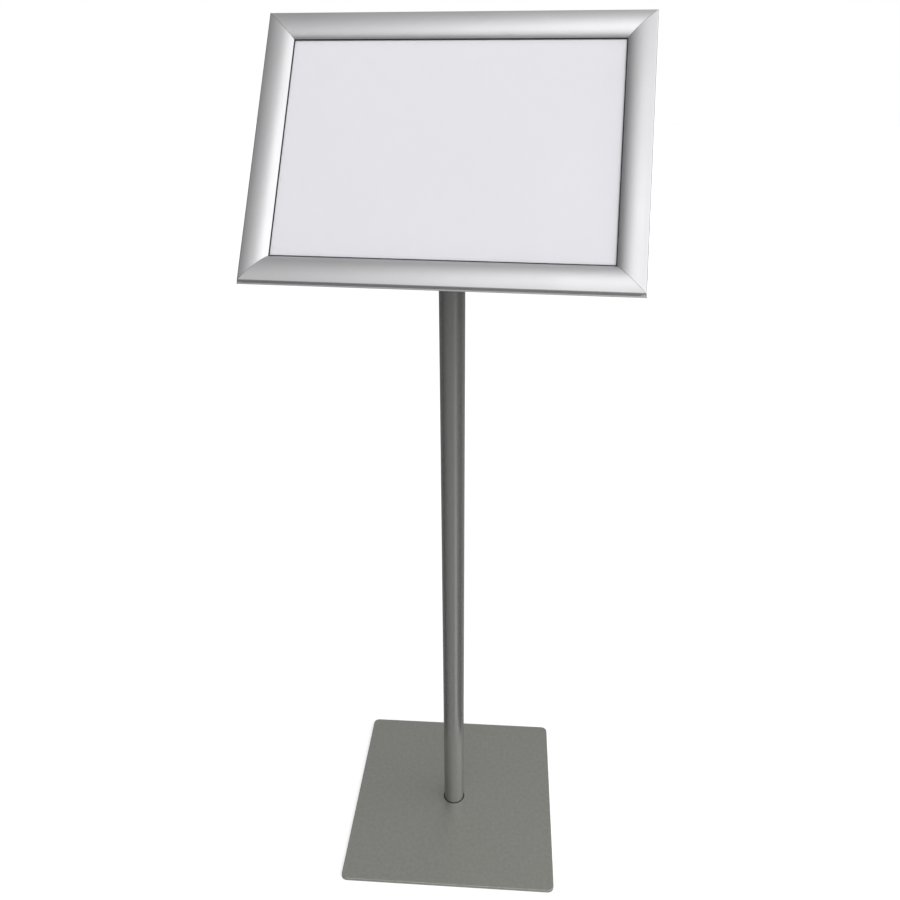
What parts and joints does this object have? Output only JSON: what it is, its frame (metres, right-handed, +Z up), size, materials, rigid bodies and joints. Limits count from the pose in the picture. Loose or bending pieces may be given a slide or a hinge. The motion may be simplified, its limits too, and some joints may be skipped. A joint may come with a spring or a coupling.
{
  "type": "poster sign stand",
  "caption": "Floor-standing poster stand: square steel base, round post and a landscape snap frame that tilts back, swivels to portrait and opens to change the sheet.",
  "frame": {"origin": "on the floor, under the axis of the post, which is the middle of the base", "axes": "+Z up along the post, front of the stand towards -Y, +X to the right of someone reading the sign"},
  "size_m": [0.474, 0.3722, 1.2665],
  "materials": {
    "grey_lacquer": "satin metallic grey lacquer on steel",
    "ballast_paint": "matt black paint on steel plate",
    "pad_rubber": "matt",
    "zinc_steel": "bright zinc plate",
    "cast_head": "cast, lightly blasted",
    "bracket_paint": "black powder coat",
    "nylon": "natural nylon",
    "knob_plastic": "fine spark texture",
    "brass": "turned",
    "rail_aluminium": "satin anodised extrusion",
    "lip_aluminium": "satin silver anodised extrusion",
    "gasket_rubber": "matt",
    "key_aluminium": "mill finish",
    "spring_steel": "bright spring steel",
    "panel_plastic": "white styrene sheet",
    "poster_paper": "blank, pale lavender grey",
    "clear_sheet": "clear sheet"
  },
  "bodies": {
    "stand": {"base_cover": "grey_lacquer", "ballast_plate": "ballast_paint", "foot_screws": "zinc_steel", "foot_pad_front_left": "pad_rubber", "foot_pad_rear_left": "pad_rubber", "foot_pad_front_right": "pad_rubber", "foot_pad_rear_right": "pad_rubber", "post_foot_plug": "zinc_steel", "post_tube": "grey_lacquer", "post_head": "cast_head", "head_set_screws": "zinc_steel"},
    "tilt_head": {"tilt_bracket": "bracket_paint", "tilt_bolt": "zinc_steel", "tilt_washer_left": "zinc_steel", "tilt_washer_right": "zinc_steel", "tilt_friction_washer_left": "nylon", "tilt_friction_washer_right": "nylon", "swivel_friction_washer": "nylon", "swivel_inner_washer": "nylon"},
    "knob": {"clamp_knob": "knob_plastic", "knob_insert": "brass"},
    "poster_frame": {"swivel_stud": "zinc_steel", "swivel_nut_washer": "zinc_steel", "swivel_lock_nut": "zinc_steel", "swivel_stop_pin": "zinc_steel", "support_bar": "bracket_paint", "bar_rivets": "zinc_steel", "rail_bottom": "rail_aluminium", "rail_right": "rail_aluminium", "rail_top": "rail_aluminium", "rail_left": "rail_aluminium", "corner_key_bottom_left": "key_aluminium", "corner_key_bottom_right": "key_aluminium", "corner_key_top_right": "key_aluminium", "corner_key_top_left": "key_aluminium", "key_screws": "zinc_steel", "spring_clip_bottom_1": "spring_steel", "spring_clip_bottom_2": "spring_steel", "spring_clip_right_1": "spring_steel", "spring_clip_right_2": "spring_steel", "spring_clip_top_1": "spring_steel", "spring_clip_top_2": "spring_steel", "spring_clip_left_1": "spring_steel", "spring_clip_left_2": "spring_steel", "back_panel": "panel_plastic", "poster": "poster_paper", "clear_cover": "clear_sheet"},
    "bottom_lip": {"snap_lip_bottom": "lip_aluminium", "lip_gasket_bottom": "gasket_rubber"},
    "right_lip": {"snap_lip_right": "lip_aluminium", "lip_gasket_right": "gasket_rubber"},
    "top_lip": {"snap_lip_top": "lip_aluminium", "lip_gasket_top": "gasket_rubber"},
    "left_lip": {"snap_lip_left": "lip_aluminium", "lip_gasket_left": "gasket_rubber"}
  },
  "joints": [
    {"name": "frame_tilt", "type": "hinge", "parent": "stand", "child": "tilt_head", "pos_m": [0, 0, 1.1], "axis": [-1, 0, 0], "range_deg": [-35, 55]},
    {"name": "frame_swivel", "type": "hinge", "parent": "tilt_head", "child": "poster_frame", "pos_m": [0, 0, 1.1], "axis": [0, -0.8192, 0.5736], "range_deg": [0, 90]},
    {"name": "knob_turn", "type": "hinge", "parent": "tilt_head", "child": "knob", "pos_m": [0, 0, 1.1], "axis": [1, 0, 0], "range_deg": [-360, 0]},
    {"name": "bottom_lip_open", "type": "hinge", "parent": "poster_frame", "child": "bottom_lip", "pos_m": [0, -0.13062, 0.98075], "axis": [1, 0, 0], "range_deg": [0, 85]},
    {"name": "right_lip_open", "type": "hinge", "parent": "poster_frame", "child": "right_lip", "pos_m": [0.2341, -0.03162, 1.12214], "axis": [0, 0.5736, 0.8192], "range_deg": [0, 85]},
    {"name": "top_lip_open", "type": "hinge", "parent": "poster_frame", "child": "top_lip", "pos_m": [0, 0.06738, 1.26353], "axis": [-1, 0, 0], "range_deg": [0, 85]},
    {"name": "left_lip_open", "type": "hinge", "parent": "poster_frame", "child": "left_lip", "pos_m": [-0.2341, -0.03162, 1.12214], "axis": [0, -0.5736, -0.8192], "range_deg": [0, 85]}
  ]
}
